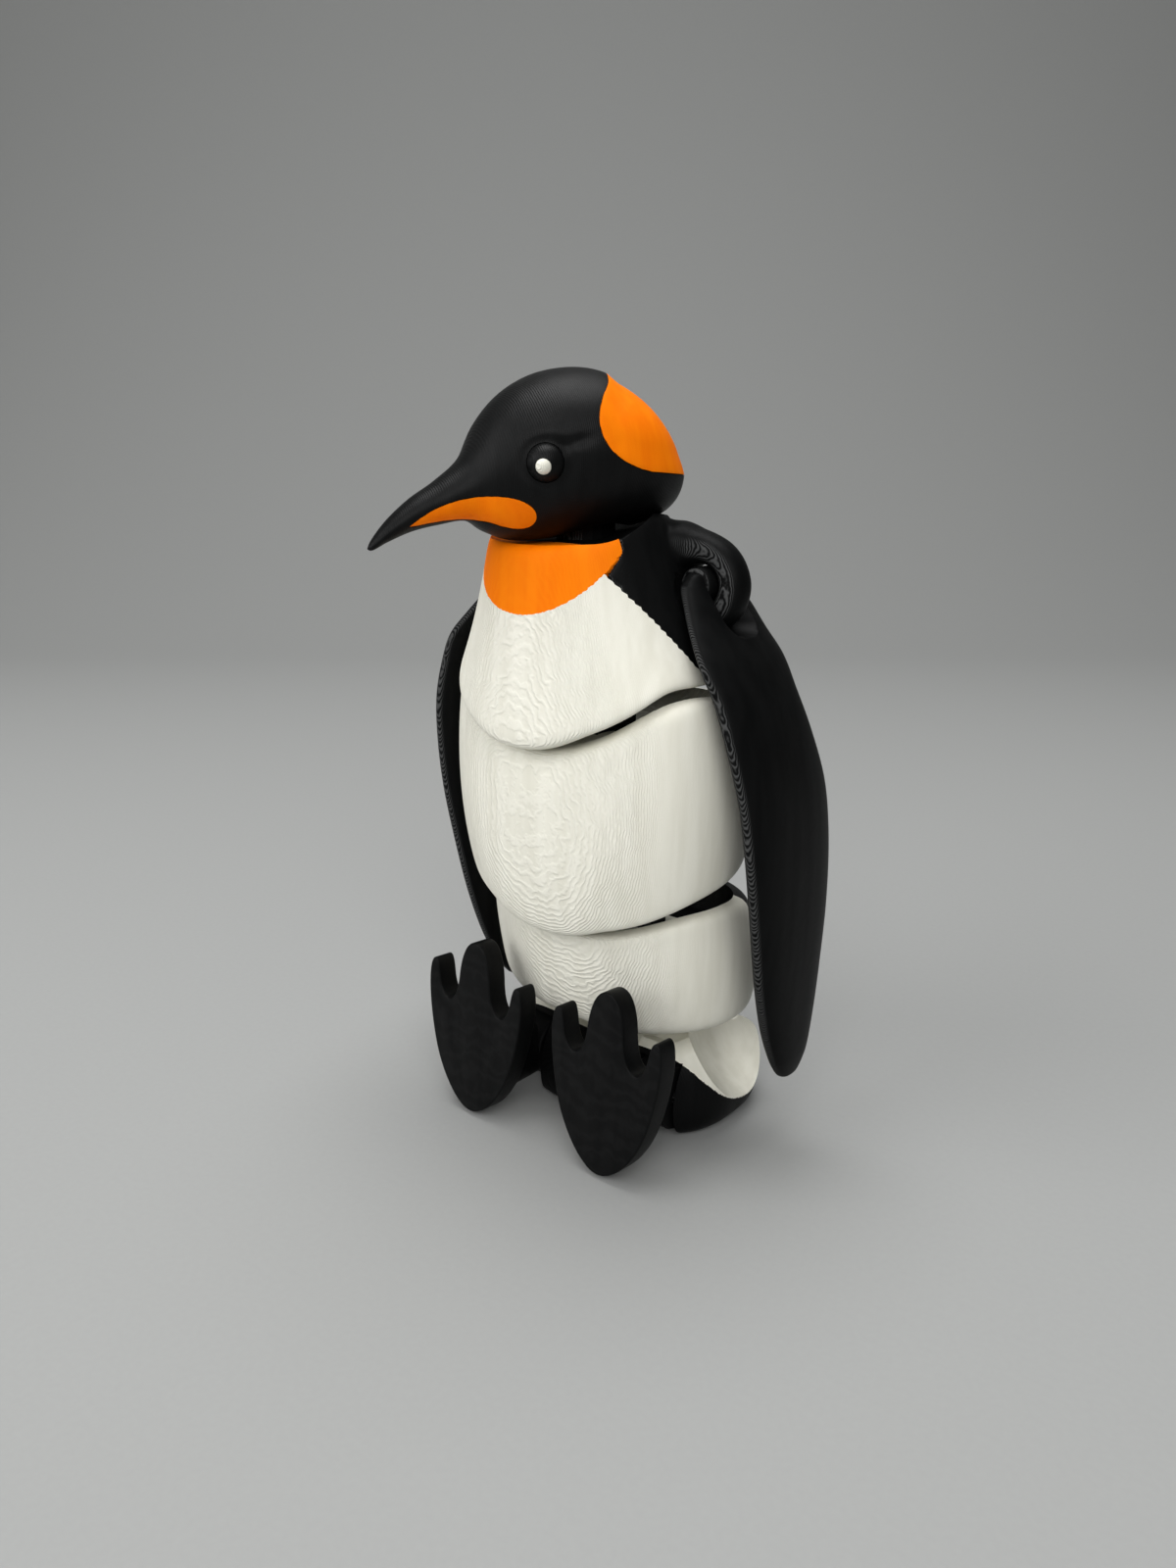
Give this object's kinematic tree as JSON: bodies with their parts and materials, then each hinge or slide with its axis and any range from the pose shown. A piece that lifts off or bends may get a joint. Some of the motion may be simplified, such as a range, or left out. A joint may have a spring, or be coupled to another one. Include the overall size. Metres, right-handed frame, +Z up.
{
  "type": "jointed toy penguin",
  "caption": "Seated jointed toy penguin, printed in black, white and orange plastic: bending torso, turning head, lifting flippers and folding legs.",
  "frame": {"origin": "on the flat underside of the hip, under the middle of the seated figure", "axes": "+Z up from the surface it sits on, -Y the way the body faces, +X to the figure's left"},
  "size_m": [0.0776, 0.0699, 0.1362],
  "materials": {
    "black_plastic": "matte printed plastic with fine layer lines",
    "white_plastic": "warm white printed plastic with fine layer lines",
    "orange_plastic": "bright orange printed plastic with fine layer lines"
  },
  "bodies": {
    "hips": {"hip_cup": "white_plastic", "hip_base": "black_plastic", "hip_pin": "black_plastic", "leg_pin_left": "black_plastic", "leg_pin_right": "black_plastic"},
    "lower": {"lower_front": "white_plastic", "lower_back": "black_plastic", "lower_pin": "black_plastic", "lower_lug": "black_plastic"},
    "belly": {"belly_front": "white_plastic", "belly_back": "black_plastic", "belly_pin": "black_plastic", "belly_lug": "black_plastic"},
    "chest": {"chest_front": "white_plastic", "chest_bib": "orange_plastic", "chest_back": "black_plastic", "neck_peg": "black_plastic", "chest_lug": "black_plastic"},
    "head": {"head_shell": "black_plastic", "ear_patch_left": "orange_plastic", "ear_patch_right": "orange_plastic", "beak_stripe_left": "orange_plastic", "beak_stripe_right": "orange_plastic", "eye_left": "black_plastic", "eye_right": "black_plastic", "eye_glint_left": "white_plastic", "eye_glint_right": "white_plastic"},
    "left_flipper": {"flipper_left": "black_plastic"},
    "right_flipper": {"flipper_right": "black_plastic"},
    "left_leg": {"leg_left": "black_plastic"},
    "right_leg": {"leg_right": "black_plastic"}
  },
  "joints": [
    {"name": "waist_bend", "type": "hinge", "parent": "hips", "child": "lower", "pos_m": [0, 0.002, 0.018], "axis": [1, 0, 0], "range_deg": [-20, 0]},
    {"name": "belly_bend", "type": "hinge", "parent": "lower", "child": "belly", "pos_m": [0, -0.004, 0.039], "axis": [1, 0, 0], "range_deg": [-12, 0]},
    {"name": "chest_bend", "type": "hinge", "parent": "belly", "child": "chest", "pos_m": [0, -0.009, 0.075], "axis": [1, 0, 0], "range_deg": [-10, 0]},
    {"name": "head_turn", "type": "hinge", "parent": "chest", "child": "head", "pos_m": [0, -0.013, 0.1096], "axis": [0, 0, 1], "range_deg": [-25, 65]},
    {"name": "left_flipper_lift", "type": "hinge", "parent": "chest", "child": "left_flipper", "pos_m": [0.0202, -0.0057, 0.1022], "axis": [0, -1, 0], "range_deg": [0, 60]},
    {"name": "right_flipper_lift", "type": "hinge", "parent": "chest", "child": "right_flipper", "pos_m": [-0.0202, -0.0057, 0.1022], "axis": [0, 1, 0], "range_deg": [0, 60]},
    {"name": "left_leg_turn", "type": "hinge", "parent": "hips", "child": "left_leg", "pos_m": [0.015, -0.008, 0.008], "axis": [1, 0, 0], "range_deg": [0, 90]},
    {"name": "right_leg_turn", "type": "hinge", "parent": "hips", "child": "right_leg", "pos_m": [-0.015, -0.008, 0.008], "axis": [1, 0, 0], "range_deg": [0, 90]}
  ]
}
